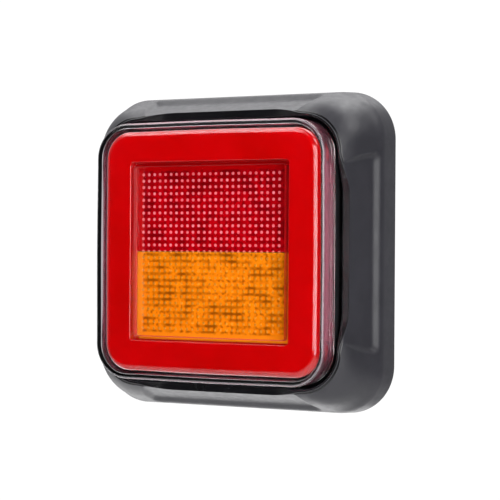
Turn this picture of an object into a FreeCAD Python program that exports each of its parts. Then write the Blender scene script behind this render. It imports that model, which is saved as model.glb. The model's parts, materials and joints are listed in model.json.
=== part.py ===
import FreeCAD, Part
import Sketcher
import math
import os
import re

# Square LED tail light for a trailer: a clip-in lamp insert in a flared surround bracket.
# Millimetres. +X to the right seen from the front, +Z up, the lamp shines along -Y.
# The origin is the centre of the bracket's flat mounting face, which lies in the plane Y = 0.
# A "depth" below is a distance in front of that face, so a point at depth d has Y = -d.

DIMENSIONS = {
    # Surround bracket
    "bracket_size": 124.0,
    "bracket_corner": 20.0,
    "flange_size": 122.6,
    "flange_corner": 19.3,
    "flange_depth": 10.4,
    "flare_blend": 12.0,
    "lip_depth": 29.5,
    "lip_size": 104.8,
    "lip_corner": 16.2,
    "lip_round": 0.5,
    "cavity_size": 102.4,
    "cavity_corner": 15.0,
    "cavity_neck_depth": 24.5,
    "cavity_base_size": 112.4,
    "cavity_base_corner": 17.0,
    "floor_thickness": 3.0,
    "panel_length": 70.0,
    "panel_reach": 32.0,
    "panel_rear_half": 58.3,
    "panel_rear_depth": 13.7,
    "panel_tilt": 19.2,
    "panel_corner": 4.0,
    "panel_draft": 50.0,
    "cut_clearance": 14.0,
    "notch_floor": 48.0,
    "notch_mouth": 70.0,
    "notch_depth": 25.3,
    "wiring_width": 44.0,
    "wiring_height": 34.0,
    "wiring_corner": 6.0,
    "screw_spacing": 60.0,
    "screw_hole_radius": 2.75,
    "post_spacing": 76.0,
    "post_radius": 3.5,
    # Snap latches on the bracket floor
    "latch_half": 48.2,
    "latch_thickness": 1.6,
    "latch_width": 12.0,
    "latch_tip": 16.4,
    "latch_hook": 1.2,
    "latch_hook_length": 2.2,
    # Lens cap
    "lens_size": 100.0,
    "lens_corner": 13.7,
    "lens_bow": 0.2,
    "lens_front": 37.5,
    "lens_plate": 1.6,
    "lens_wall": 1.9,
    "lens_rear": 28.6,
    "lens_round": 0.9,
    "optic_size": 66.0,
    "optic_corner": 3.0,
    "optic_thickness": 2.6,
    # Lamp housing
    "rim_size": 99.4,
    "rim_front": 28.0,
    "rim_thickness": 3.6,
    "housing_size": 95.0,
    "housing_corner": 12.0,
    "housing_wall": 2.0,
    "housing_back": 8.0,
    "housing_floor": 2.5,
    "weld_rib_size": 95.4,
    "weld_rib_wall": 0.6,
    "weld_rib_height": 1.6,
    "seal_wall": 1.3,
    "standoff_radius": 3.0,
    "fixing_spacing": 79.0,
    "pilot_radius": 0.9,
    # Red glow frame and what lights it
    "glow_size": 93.8,
    "glow_corner": 10.6,
    "glow_front": 35.8,
    "glow_plate": 1.8,
    "glow_wall": 1.3,
    "recess_size": 69.0,
    "recess_corner": 1.2,
    "recess_wall": 1.4,
    "recess_step_depth": 33.2,
    "recess_step": 0.5,
    "glow_round": 0.35,
    "guide_size": 89.2,
    "guide_corner": 9.6,
    "guide_inner": 73.0,
    "guide_inner_corner": 3.0,
    "guide_front": 34.0,
    "guide_rear": 31.2,
    "well_size": 89.6,
    "well_corner": 9.0,
    "well_inner": 74.2,
    "well_wall": 1.2,
    "well_front": 31.2,
    "well_rear": 16.1,
    "well_rib": 1.6,
    # Signal windows, reflectors and the wall between them
    "window_width": 71.4,
    "window_height": 35.4,
    "window_corner": 1.0,
    "window_front": 30.0,
    "window_plate": 1.2,
    "window_rear": 27.8,
    "window_border": 1.8,
    "window_gap": 0.3,
    "tray_width": 70.6,
    "tray_height": 34.0,
    "tray_corner": 1.5,
    "tray_front": 27.8,
    "tray_plate": 1.2,
    "tray_leg": 1.8,
    "tray_leg_spacing_x": 67.0,
    "tray_leg_spacing_z": 30.4,
    "bowl_radius": 7.6,
    "bowl_neck": 2.6,
    "bowl_wall": 0.9,
    "bowl_rear": 18.2,
    "bowl_bulge": 6.4,
    "bowl_curve": 10.1,
    "bowl_pitch_x": 22.0,
    "bowl_pitch_z": 16.6,
    "divider_width": 70.6,
    "divider_thickness": 1.0,
    # Circuit board and what is soldered to it
    "board_size": 89.6,
    "board_corner": 9.4,
    "board_rear": 14.5,
    "board_thickness": 1.6,
    "board_hole_radius": 1.5,
    "led_size": 3.5,
    "led_height": 0.9,
    "led_dome": 1.3,
    "led_dome_height": 0.7,
    "led_dome_draft": -35.0,
    "tail_led_pitch": 13.0,
    "tail_led_half": 41.0,
    "screw_length": 4.6,
    "screw_head_radius": 2.2,
    "screw_head_height": 1.5,
    # Components on the rear of the board: rows and columns are distances from the lamp's axis
    "driver_row": 24.0,
    "middle_row": 2.0,
    "block_corner": 0.1,
    "chip_column": 22.0,
    "chip_width": 5.0,
    "chip_length": 4.0,
    "chip_height": 1.6,
    "resistor_near": 7.5,
    "resistor_far": 12.5,
    "resistor_width": 3.2,
    "resistor_length": 1.6,
    "resistor_height": 0.6,
    "ceramic_rise": 6.0,
    "ceramic_width": 2.0,
    "ceramic_length": 1.25,
    "ceramic_height": 1.2,
    "diode_column": 12.0,
    "diode_width": 4.6,
    "diode_length": 2.6,
    "diode_height": 2.2,
    "suppressor_column": 28.0,
    "suppressor_row": 8.0,
    "suppressor_width": 6.8,
    "suppressor_length": 5.9,
    "suppressor_height": 2.4,
    "can_column": 24.0,
    "can_radius": 2.0,
    "can_height": 3.4,
    "terminal_row": 9.0,
    "terminal_pitch": 3.0,
    "terminal_width": 1.2,
    "terminal_length": 3.0,
    "terminal_height": 2.0,
    # Cable entry and vent
    "cable_drop": 6.0,
    "cable_radius": 3.3,
    "grommet_neck": 6.0,
    "grommet_flange": 8.0,
    "grommet_flange_height": 1.4,
    "grommet_bead": 7.2,
    "grommet_bead_height": 1.0,
    "grommet_snout": 5.2,
    "grommet_snout_end": 1.6,
    "vent_offset": 26.0,
    "vent_hole_radius": 1.2,
    "vent_radius": 4.5,
    "vent_thickness": 0.4,
}

PARTS_FOLDER = "parts"
STRAIGHT_SIDES = 4
BOWLS_ACROSS = 3
BOWLS_UP = 2
TAIL_LEDS_PER_SIDE = 4
WIRES = 4
QUARTER = 90
FORWARD = FreeCAD.Vector(0, 0, 1)
# The sides of a square that meet at each corner, and the angle at which the corner's arc starts
CORNERS = ((1, -1, -90), (1, 1, 0), (-1, 1, 90), (-1, -1, 180))
FAILED_STATES = ("Invalid", "Error")

doc = FreeCAD.newDocument("TrailerTailLight")


def make_sheet():
    """Put every driving dimension in one spreadsheet cell with an alias."""
    sheet = doc.addObject("Spreadsheet::Sheet", "Dims")
    for row, (alias, size) in enumerate(DIMENSIONS.items(), start=1):
        cell = "B%d" % row
        sheet.set("A%d" % row, alias)
        sheet.set(cell, str(size))
        sheet.setAlias(cell, alias)
    doc.recompute()
    return sheet


dims = make_sheet()
sub_parts = []


def value(formula):
    """The present value of a spreadsheet formula, in millimetres or degrees."""
    return float(dims.evalExpression(formula))


def sheet_name(word):
    """The document's name for a dimension. Any other word, such as a function, stays as it is."""
    return "Dims." + word if word in DIMENSIONS else word


def named(formula):
    """Write 'lens_size / 2' the way the document reads it, 'Dims.lens_size / 2'."""
    return re.sub(r"[a-z]\w*", lambda word: sheet_name(word.group()), formula)


def bind(thing, prop, formula):
    """Drive one property by a spreadsheet formula."""
    thing.setExpression(prop, named(formula))


def new_body(node):
    """One sub-part, whose label is the name of its file."""
    body = doc.addObject("PartDesign::Body", node)
    body.Label = node
    sub_parts.append(body)
    return body


def origin_plane(body, role):
    """One of the body's own origin planes or axes."""
    return next(item for item in body.Origin.OriginFeatures if item.Role == role)


def new_sketch(body, name, depth, x="0", z="0"):
    """A sketch parallel to the mounting face, at a depth in front of it. Its X and Y run along +X and +Z."""
    sketch = body.newObject("Sketcher::SketchObject", body.Label + "_" + name)
    sketch.AttachmentSupport = (origin_plane(body, "XZ_Plane"), [""])
    sketch.MapMode = "FlatFace"
    bind(sketch, "AttachmentOffset.Base.x", x)
    bind(sketch, "AttachmentOffset.Base.y", z)
    bind(sketch, "AttachmentOffset.Base.z", depth)
    return sketch


def constrain(sketch, kind, *refs):
    """Add one geometric constraint."""
    sketch.addConstraint(Sketcher.Constraint(kind, *refs))


def dimension(sketch, kind, name, formula, *refs):
    """Add one driving dimension, named and bound to the spreadsheet."""
    index = sketch.addConstraint(Sketcher.Constraint(kind, *refs, value(named(formula))))
    sketch.renameConstraint(index, name)
    sketch.setExpression("Constraints." + name, named(formula))


def arc(sketch, centre, radius, first, last):
    """Draw one arc between two angles in degrees."""
    circle = Part.Circle(centre, FORWARD, radius)
    return sketch.addGeometry(Part.ArcOfCircle(circle, math.radians(first), math.radians(last)), False)


def corner_arcs(sketch, half_x, half_z, corner):
    """The four corner arcs of a rounded outline, from the lower right, counterclockwise."""
    corners = []
    for side_x, side_z, start in CORNERS:
        centre = FreeCAD.Vector(side_x * (half_x - corner), side_z * (half_z - corner), 0)
        corners.append(arc(sketch, centre, corner, start, start + QUARTER))
    return corners


def rounded(sketch, name, size_x, size_z, corner):
    """A rectangle with rounded corners, centred on the sketch's origin."""
    half_x = value(named(size_x)) / 2
    half_z = value(named(size_z)) / 2
    radius = value(named(corner))
    in_x = half_x - radius
    in_z = half_z - radius
    ends = (
        ((-in_x, -half_z), (in_x, -half_z)),
        ((half_x, -in_z), (half_x, in_z)),
        ((in_x, half_z), (-in_x, half_z)),
        ((-half_x, in_z), (-half_x, -in_z)),
    )
    sides = []
    for start, end in ends:
        line = Part.LineSegment(FreeCAD.Vector(*start, 0), FreeCAD.Vector(*end, 0))
        sides.append(sketch.addGeometry(line, False))
    corners = corner_arcs(sketch, half_x, half_z, radius)
    for index in range(STRAIGHT_SIDES):
        following = sides[(index + 1) % STRAIGHT_SIDES]
        constrain(sketch, "Tangent", sides[index], 2, corners[index], 1)
        constrain(sketch, "Tangent", corners[index], 2, following, 1)
    constrain(sketch, "Horizontal", sides[0])
    constrain(sketch, "Horizontal", sides[2])
    constrain(sketch, "Vertical", sides[1])
    constrain(sketch, "Vertical", sides[3])
    for other in corners[1:]:
        constrain(sketch, "Equal", corners[0], other)
    constrain(sketch, "Symmetric", corners[0], 3, corners[2], 3, -1, 1)
    dimension(sketch, "DistanceX", name + "_width", size_x, sides[3], 1, sides[1], 1)
    dimension(sketch, "DistanceY", name + "_height", size_z, sides[0], 1, sides[2], 1)
    dimension(sketch, "Radius", name + "_corner", corner, corners[0])
    return sketch


def bowed(sketch, name, size, corner, bow):
    """A square outline whose sides bulge out a little between its rounded corners."""
    half = value(named(size)) / 2
    radius = value(named(corner))
    rise = value(named(bow))
    centre_half = "( ( " + size + " ) / 2 - " + corner + " - " + bow + " )"
    spread = value(named(centre_half))
    side_radius = corner + " + ( " + centre_half + " ^ 2 + " + bow + " ^ 2 ) / ( 2 * " + bow + " )"
    big = value(named(side_radius))
    swing = math.degrees(math.asin(spread / (big - radius)))
    sides = []
    corners = []
    for side_x, side_z, start in CORNERS:
        away = math.radians(start)
        middle = FreeCAD.Vector((half - big) * math.cos(away), (half - big) * math.sin(away), 0)
        sides.append(arc(sketch, middle, big, start - swing, start + swing))
    for side_x, side_z, start in CORNERS:
        centre = FreeCAD.Vector(side_x * spread, side_z * spread, 0)
        corners.append(arc(sketch, centre, radius, start + swing, start + QUARTER - swing))
    for index in range(STRAIGHT_SIDES):
        following = sides[(index + 1) % STRAIGHT_SIDES]
        constrain(sketch, "Tangent", sides[index], 2, corners[index], 1)
        constrain(sketch, "Tangent", corners[index], 2, following, 1)
    for group in (sides, corners):
        for other in group[1:]:
            constrain(sketch, "Equal", group[0], other)
    constrain(sketch, "Symmetric", corners[0], 3, corners[2], 3, -1, 1)
    constrain(sketch, "Symmetric", corners[1], 3, corners[3], 3, -1, 1)
    constrain(sketch, "Horizontal", corners[3], 3, corners[0], 3)
    constrain(sketch, "Vertical", corners[0], 3, corners[1], 3)
    spacing = "2 * " + centre_half
    dimension(sketch, "DistanceX", name + "_spacing_x", spacing, corners[3], 3, corners[0], 3)
    dimension(sketch, "DistanceY", name + "_spacing_z", spacing, corners[0], 3, corners[1], 3)
    dimension(sketch, "Radius", name + "_corner", corner, corners[0])
    dimension(sketch, "Radius", name + "_side", side_radius, sides[0])
    return sketch


def round_outline(sketch, name, radius):
    """A circle on the sketch's origin."""
    circle = Part.Circle(FreeCAD.Vector(0, 0, 0), FORWARD, value(named(radius)))
    index = sketch.addGeometry(circle, False)
    constrain(sketch, "Coincident", index, 3, -1, 1)
    dimension(sketch, "Radius", name + "_radius", radius, index)
    return sketch


def pad(sketch, length):
    """Add material from the sketch towards the front."""
    body = sketch.getParentGeoFeatureGroup()
    feature = body.newObject("PartDesign::Pad", sketch.Name + "_pad")
    feature.Profile = sketch
    bind(feature, "Length", length)
    sketch.Visibility = False
    return feature


def cut(sketch, length, forward=False, draft=None):
    """Remove material from the sketch towards the back, or towards the front. Stops if nothing is removed."""
    body = sketch.getParentGeoFeatureGroup()
    doc.recompute()
    before = body.Shape.Volume
    feature = body.newObject("PartDesign::Pocket", sketch.Name + "_cut")
    feature.Profile = sketch
    feature.Reversed = forward
    bind(feature, "Length", length)
    if draft:
        bind(feature, "TaperAngle", draft)
    doc.recompute()
    if body.Shape.Volume >= before:
        raise RuntimeError(feature.Name + " removed nothing")
    return feature


def quarter_turns(body, originals):
    """Repeat features on all four sides or corners."""
    pattern = body.newObject("PartDesign::PolarPattern", originals[-1].Name + "_around")
    pattern.Originals = originals
    pattern.Axis = (origin_plane(body, "Y_Axis"), [""])
    pattern.Angle = 360
    pattern.Occurrences = STRAIGHT_SIDES
    body.Tip = pattern
    doc.recompute()
    return pattern


def grid(body, originals, count_x, pitch_x, count_z, pitch_z):
    """Repeat features in rows along +X and columns along +Z."""
    pattern = body.newObject("PartDesign::LinearPattern", originals[-1].Name + "_grid")
    pattern.Originals = originals
    pattern.Direction = (origin_plane(body, "X_Axis"), [""])
    pattern.Occurrences = count_x
    bind(pattern, "Length", "( %d ) * ( %s )" % (max(count_x - 1, 1), pitch_x))
    pattern.Direction2 = (origin_plane(body, "Z_Axis"), [""])
    pattern.Occurrences2 = count_z
    bind(pattern, "Length2", "( %d ) * ( %s )" % (max(count_z - 1, 1), pitch_z))
    body.Tip = pattern
    doc.recompute()
    return pattern


def round_edges(body, radius, chosen):
    """Fillet the edges for which chosen(edge) is true."""
    doc.recompute()
    base = body.Tip
    names = ["Edge%d" % number for number, edge in enumerate(base.Shape.Edges, start=1) if chosen(edge)]
    feature = body.newObject("PartDesign::Fillet", base.Name + "_round")
    feature.Base = (base, names)
    bind(feature, "Radius", radius)
    doc.recompute()
    return feature


def at_depth(edge, depth):
    """Whether an edge lies in the plane at this depth."""
    tolerance = 1e-3
    box = edge.BoundBox
    return abs(box.YMin + depth) < tolerance and abs(box.YMax + depth) < tolerance


def reach(edge):
    """How far an edge stands from the lamp's axis, along X or Z."""
    box = edge.BoundBox
    return max(abs(box.XMin), abs(box.XMax), abs(box.ZMin), abs(box.ZMax))


# ---- Surround bracket -------------------------------------------------------------------------


def bracket_skin(body):
    """The outer form: a slightly drafted flange at the back that flares in to the front lip."""
    foot = new_sketch(body, "foot", "0")
    rounded(foot, "foot", "bracket_size", "bracket_size", "bracket_corner")
    base = new_sketch(body, "flare_base", "flange_depth")
    rounded(base, "flare_base", "flange_size", "flange_size", "flange_corner")
    lip = new_sketch(body, "flare_lip", "lip_depth")
    rounded(lip, "flare_lip", "lip_size", "lip_size", "lip_corner")
    doc.recompute()
    flare = body.newObject("PartDesign::AdditiveLoft", "bracket_flare")
    flare.Profile = foot
    flare.Sections = [base, lip]
    flare.Ruled = True
    round_edges(body, "flare_blend", lambda edge: at_depth(edge, DIMENSIONS["flange_depth"]))


def bracket_cavity(body):
    """The hollow that takes the lamp insert, wider at the floor than at the lip, and the rounded lip."""
    mouth = new_sketch(body, "mouth", "lip_depth")
    rounded(mouth, "mouth", "cavity_size", "cavity_size", "cavity_corner")
    cut(mouth, "lip_depth - floor_thickness")
    well = new_sketch(body, "well", "flange_depth")
    rounded(well, "well", "cavity_base_size", "cavity_base_size", "cavity_base_corner")
    cut(well, "flange_depth - floor_thickness")
    wide = new_sketch(body, "wide", "flange_depth")
    rounded(wide, "wide", "cavity_base_size", "cavity_base_size", "cavity_base_corner")
    neck = new_sketch(body, "neck", "cavity_neck_depth")
    rounded(neck, "neck", "cavity_size", "cavity_size", "cavity_corner")
    doc.recompute()
    slope = body.newObject("PartDesign::SubtractiveLoft", "bracket_cavity_slope")
    slope.Profile = wide
    slope.Sections = [neck]
    slope.Ruled = True
    round_edges(body, "lip_round", lambda edge: at_depth(edge, DIMENSIONS["lip_depth"]))


def side_sketch(body, name):
    """A sketch that faces +X, for one side of the bracket. Its own X and Y run along +Y and +Z."""
    sketch = body.newObject("Sketcher::SketchObject", body.Label + "_" + name)
    sketch.AttachmentSupport = (origin_plane(body, "YZ_Plane"), [""])
    sketch.MapMode = "FlatFace"
    return sketch


def side_panel(body):
    """The shallow recessed panel in one side: a drafted pocket on a plane that leans with the flare."""
    sketch = side_sketch(body, "panel")
    bind(sketch, "AttachmentOffset.Base.x", "0 - panel_rear_depth - panel_reach / 2 * cos(panel_tilt)")
    bind(sketch, "AttachmentOffset.Base.z", "panel_rear_half - panel_reach / 2 * sin(panel_tilt)")
    for axis, part in (("x", "0"), ("y", "-1"), ("z", "0")):
        bind(sketch, "AttachmentOffset.Rotation.Axis." + axis, part)
    bind(sketch, "AttachmentOffset.Rotation.Angle", "panel_tilt")
    rounded(sketch, "panel", "panel_reach", "panel_length", "panel_corner")
    return cut(sketch, "cut_clearance", forward=True, draft="panel_draft")


def pry_notch(body):
    """The shallower stretch of lip in the middle of one side, where a blade reaches the latch."""
    sketch = side_sketch(body, "notch")
    bind(sketch, "AttachmentOffset.Base.z", "latch_half")
    front = value("-Dims.lip_depth")
    floor = value("-Dims.notch_depth")
    wide = value("Dims.notch_mouth / 2")
    narrow = value("Dims.notch_floor / 2")
    points = [(front, -wide), (front, wide), (floor, narrow), (floor, -narrow)]
    lines = []
    for index, start in enumerate(points):
        end = points[(index + 1) % len(points)]
        line = Part.LineSegment(FreeCAD.Vector(*start, 0), FreeCAD.Vector(*end, 0))
        lines.append(sketch.addGeometry(line, False))
    for index, line in enumerate(lines):
        constrain(sketch, "Coincident", line, 2, lines[(index + 1) % len(lines)], 1)
    constrain(sketch, "Symmetric", lines[0], 1, lines[0], 2, -1)
    constrain(sketch, "Symmetric", lines[2], 1, lines[2], 2, -1)
    dimension(sketch, "DistanceY", "mouth", "notch_mouth", lines[0], 1, lines[0], 2)
    dimension(sketch, "DistanceY", "floor", "notch_floor", lines[2], 2, lines[2], 1)
    dimension(sketch, "DistanceX", "front", "lip_depth", lines[0], 1, -1, 1)
    dimension(sketch, "DistanceX", "depth", "notch_depth", lines[2], 1, -1, 1)
    return cut(sketch, "cut_clearance", forward=True)


def make_bracket():
    """The moulded surround that is screwed to the trailer."""
    body = new_body("mounting_bracket")
    bracket_skin(body)
    bracket_cavity(body)
    panel = side_panel(body)
    notch = pry_notch(body)
    quarter_turns(body, [panel, notch])
    opening = new_sketch(body, "wiring", "floor_thickness")
    rounded(opening, "wiring", "wiring_width", "wiring_height", "wiring_corner")
    cut(opening, "floor_thickness")
    spot = new_sketch(body, "screw", "floor_thickness", "screw_spacing / 2", "screw_spacing / 2")
    hole = cut(round_outline(spot, "screw", "screw_hole_radius"), "floor_thickness")
    quarter_turns(body, [hole])
    spot = new_sketch(body, "post", "floor_thickness", "post_spacing / 2", "post_spacing / 2")
    post = pad(round_outline(spot, "post", "post_radius"), "housing_back - floor_thickness")
    quarter_turns(body, [post])


def make_latches():
    """Four spring tongues that stand on the bracket floor and hook into the sides of the insert."""
    body = new_body("latch_tongues")
    middle = "latch_half + latch_thickness / 2"
    tongue = new_sketch(body, "tongue", "floor_thickness", middle)
    rounded(tongue, "tongue", "latch_thickness", "latch_width", "latch_thickness / 4")
    arm = pad(tongue, "latch_tip - floor_thickness")
    middle = "latch_half - latch_hook / 2 + latch_thickness / 4"
    nose = new_sketch(body, "nose", "latch_tip - latch_hook_length", middle)
    rounded(nose, "nose", "latch_hook + latch_thickness / 2", "latch_width", "latch_thickness / 8")
    hook = pad(nose, "latch_hook_length")
    quarter_turns(body, [arm, hook])


# ---- Lamp insert: the shell -------------------------------------------------------------------


def make_lens():
    """The clear cap: a front plate with a deep side wall and a raised optic pad on its rear face."""
    body = new_body("outer_lens")
    cap = new_sketch(body, "cap", "lens_rear")
    bowed(cap, "cap", "lens_size", "lens_corner", "lens_bow")
    pad(cap, "lens_front - lens_rear")
    inside = new_sketch(body, "inside", "lens_front - lens_plate")
    bowed(inside, "inside", "lens_size - 2 * lens_wall", "( lens_corner - lens_wall )", "lens_bow")
    cut(inside, "lens_front - lens_plate - lens_rear")
    optic = new_sketch(body, "optic", "lens_front - lens_plate - optic_thickness")
    rounded(optic, "optic", "optic_size", "optic_size", "optic_corner")
    pad(optic, "optic_thickness")
    front = DIMENSIONS["lens_front"]
    round_edges(body, "lens_round", lambda edge: at_depth(edge, front))


def make_seal():
    """The welded seam between the lens cap and the rim of the housing."""
    body = new_body("lens_seal")
    ring = new_sketch(body, "ring", "rim_front")
    bowed(ring, "ring", "( lens_size - lens_round )", "lens_corner", "lens_bow")
    pad(ring, "lens_rear - rim_front")
    inside = new_sketch(body, "inside", "lens_rear")
    size = "lens_size - lens_round - 2 * seal_wall"
    bowed(inside, "inside", size, "( lens_corner - seal_wall )", "lens_bow")
    cut(inside, "lens_rear - rim_front")


def fixing_spot(body, name, depth):
    """A sketch centred on one of the four screws of the circuit board."""
    return new_sketch(body, name, depth, "fixing_spacing / 2", "fixing_spacing / 2")


def make_housing():
    """The black base of the insert: a rim that carries the lens and a box that holds the board."""
    body = new_body("lamp_housing")
    box = new_sketch(body, "box", "housing_back")
    rounded(box, "box", "housing_size", "housing_size", "housing_corner")
    pad(box, "rim_front - housing_back")
    rim = new_sketch(body, "rim", "rim_front - rim_thickness")
    bowed(rim, "rim", "rim_size", "lens_corner", "lens_bow")
    pad(rim, "rim_thickness")
    rib = new_sketch(body, "rib", "rim_front")
    bowed(rib, "rib", "weld_rib_size", "( lens_corner - lens_wall )", "lens_bow")
    pad(rib, "weld_rib_height")
    hollow = new_sketch(body, "rib_hollow", "rim_front + weld_rib_height")
    corner = "( lens_corner - lens_wall - weld_rib_wall )"
    bowed(hollow, "rib_hollow", "weld_rib_size - 2 * weld_rib_wall", corner, "lens_bow")
    cut(hollow, "weld_rib_height")
    inside = new_sketch(body, "inside", "rim_front")
    size = "housing_size - 2 * housing_wall"
    rounded(inside, "inside", size, size, "housing_corner - housing_wall")
    cut(inside, "rim_front - housing_back - housing_floor")
    height = "board_rear - housing_back - housing_floor"
    spot = fixing_spot(body, "standoff", "housing_back + housing_floor")
    standoff = pad(round_outline(spot, "standoff", "standoff_radius"), height)
    spot = fixing_spot(body, "pilot", "board_rear")
    pilot = cut(round_outline(spot, "pilot", "pilot_radius"), height)
    quarter_turns(body, [standoff, pilot])
    catch = new_sketch(body, "catch", "latch_tip + latch_hook", "housing_size / 2")
    rounded(catch, "catch", "2 * latch_hook", "latch_width + 2 * latch_hook", "latch_thickness / 8")
    quarter_turns(body, [cut(catch, "latch_hook_length + 2 * latch_hook")])
    entry = new_sketch(body, "entry", "housing_back + housing_floor", "0", "0 - cable_drop")
    cut(round_outline(entry, "entry", "grommet_neck"), "housing_floor")
    vent = new_sketch(body, "vent", "housing_back + housing_floor", "vent_offset", "vent_offset")
    cut(round_outline(vent, "vent", "vent_hole_radius"), "housing_floor")


# ---- Lamp insert: the lit ring and the windows ------------------------------------------------


def make_glow_frame():
    """The red ring seen behind the lens, with a stepped wall down to the windows."""
    body = new_body("glow_frame")
    block = new_sketch(body, "block", "rim_front")
    bowed(block, "block", "glow_size", "glow_corner", "lens_bow")
    pad(block, "glow_front - rim_front")
    recess = new_sketch(body, "recess", "glow_front")
    rounded(recess, "recess", "recess_size", "recess_size", "recess_corner")
    cut(recess, "glow_front - recess_step_depth")
    lower = new_sketch(body, "lower", "recess_step_depth")
    size = "recess_size - 2 * recess_step"
    rounded(lower, "lower", size, size, "recess_corner")
    cut(lower, "recess_step_depth - rim_front")
    hollow = new_sketch(body, "hollow", "rim_front")
    bowed(hollow, "hollow", "glow_size - 2 * glow_wall", "( glow_corner - glow_wall )", "lens_bow")
    size = "recess_size + 2 * recess_wall"
    rounded(hollow, "hollow_core", size, size, "recess_corner + recess_wall")
    cut(hollow, "glow_front - glow_plate - rim_front", forward=True)
    trim = new_sketch(body, "trim", "rim_front")
    size = "recess_size + 3 * recess_wall"
    rounded(trim, "trim", size, size, "recess_corner + recess_wall")
    cut(trim, "window_front - rim_front", forward=True)
    front = DIMENSIONS["glow_front"]
    inner = DIMENSIONS["recess_size"]
    round_edges(body, "glow_round", lambda edge: at_depth(edge, front) and reach(edge) < inner)


def make_light_guide():
    """The milky ring behind the red frame that spreads the light of the tail LEDs."""
    body = new_body("light_guide")
    ring = new_sketch(body, "ring", "guide_rear")
    rounded(ring, "ring", "guide_size", "guide_size", "guide_corner")
    rounded(ring, "hole", "guide_inner", "guide_inner", "guide_inner_corner")
    pad(ring, "guide_front - guide_rear")


def make_light_well():
    """The white channel that leads the tail LEDs' light forward: two walls joined by a web on each side."""
    body = new_body("light_well")
    outer = new_sketch(body, "outer", "well_rear")
    rounded(outer, "outer", "well_size", "well_size", "well_corner")
    size = "well_size - 2 * well_wall"
    rounded(outer, "outer_hole", size, size, "well_corner - well_wall")
    pad(outer, "well_front - well_rear")
    inner = new_sketch(body, "inner", "well_rear")
    size = "well_inner + 2 * well_wall"
    rounded(inner, "inner", size, size, "guide_inner_corner + well_wall")
    rounded(inner, "inner_hole", "well_inner", "well_inner", "guide_inner_corner")
    pad(inner, "well_front - well_rear")
    middle = "( well_size + well_inner ) / 4"
    web = new_sketch(body, "web", "well_rear", middle)
    width = "( well_size - well_inner ) / 2 - well_wall / 2"
    rounded(web, "web", width, "well_rib", "well_rib / 8")
    quarter_turns(body, [pad(web, "well_front - well_rear")])


def make_window(node, centre_z):
    """One coloured signal window: a plate with a deeper border behind its edge."""
    body = new_body(node)
    block = new_sketch(body, "block", "window_rear", "0", centre_z)
    rounded(block, "block", "window_width", "window_height", "window_corner")
    pad(block, "window_front - window_rear")
    back = new_sketch(body, "back", "window_rear", "0", centre_z)
    width = "window_width - 2 * window_border"
    height = "window_height - 2 * window_border"
    rounded(back, "back", width, height, "window_corner")
    cut(back, "window_front - window_plate - window_rear", forward=True)


def bowl_profile(body, name, centre_x, centre_z, wall):
    """Half of one reflector bowl in section, beside the bowl's axis: a line, an arc, a line and the axis."""
    sketch = body.newObject("Sketcher::SketchObject", body.Label + "_" + name)
    sketch.AttachmentSupport = (origin_plane(body, "XY_Plane"), [""])
    sketch.MapMode = "FlatFace"
    bind(sketch, "AttachmentOffset.Base.x", centre_x)
    bind(sketch, "AttachmentOffset.Base.z", centre_z)
    front = -value("Dims.tray_front")
    rear = -value("Dims.bowl_rear")
    mouth = FreeCAD.Vector(value(named("bowl_radius + " + wall)), front, 0)
    bulge = FreeCAD.Vector(value(named("bowl_bulge + " + wall)), (front + rear) / 2, 0)
    neck = FreeCAD.Vector(value(named("bowl_neck + " + wall)), rear, 0)
    front_middle = FreeCAD.Vector(0, front, 0)
    rear_middle = FreeCAD.Vector(0, rear, 0)
    top = sketch.addGeometry(Part.LineSegment(front_middle, mouth), False)
    curve = sketch.addGeometry(Part.Arc(mouth, bulge, neck), False)
    bottom = sketch.addGeometry(Part.LineSegment(neck, rear_middle), False)
    axis = sketch.addGeometry(Part.LineSegment(rear_middle, front_middle), False)
    return sketch, top, curve, bottom, axis


def bowl(body, name, centre_x, centre_z, wall, feature_kind):
    """Turn one bowl, either as added material or as a hollow."""
    sketch, top, curve, bottom, axis = bowl_profile(body, name, centre_x, centre_z, wall)
    mouth_end = 2 if sketch.getPoint(curve, 2).y < sketch.getPoint(curve, 1).y else 1
    constrain(sketch, "Coincident", top, 2, curve, mouth_end)
    constrain(sketch, "Coincident", curve, 3 - mouth_end, bottom, 1)
    constrain(sketch, "Coincident", bottom, 2, axis, 1)
    constrain(sketch, "Coincident", axis, 2, top, 1)
    constrain(sketch, "Horizontal", top)
    constrain(sketch, "Horizontal", bottom)
    constrain(sketch, "PointOnObject", top, 1, -2)
    constrain(sketch, "PointOnObject", bottom, 2, -2)
    dimension(sketch, "DistanceY", "front", "tray_front", top, 1, -1, 1)
    dimension(sketch, "DistanceY", "rear", "bowl_rear", bottom, 2, -1, 1)
    dimension(sketch, "DistanceX", "mouth", "bowl_radius + " + wall, top, 1, top, 2)
    dimension(sketch, "DistanceX", "neck", "bowl_neck + " + wall, bottom, 2, bottom, 1)
    dimension(sketch, "Radius", "curve", "bowl_curve", curve)
    feature = body.newObject("PartDesign::" + feature_kind, body.Label + "_" + name + "_turned")
    feature.Profile = sketch
    feature.ReferenceAxis = (sketch, ["V_Axis"])
    feature.Angle = 360
    doc.recompute()
    return feature


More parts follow.
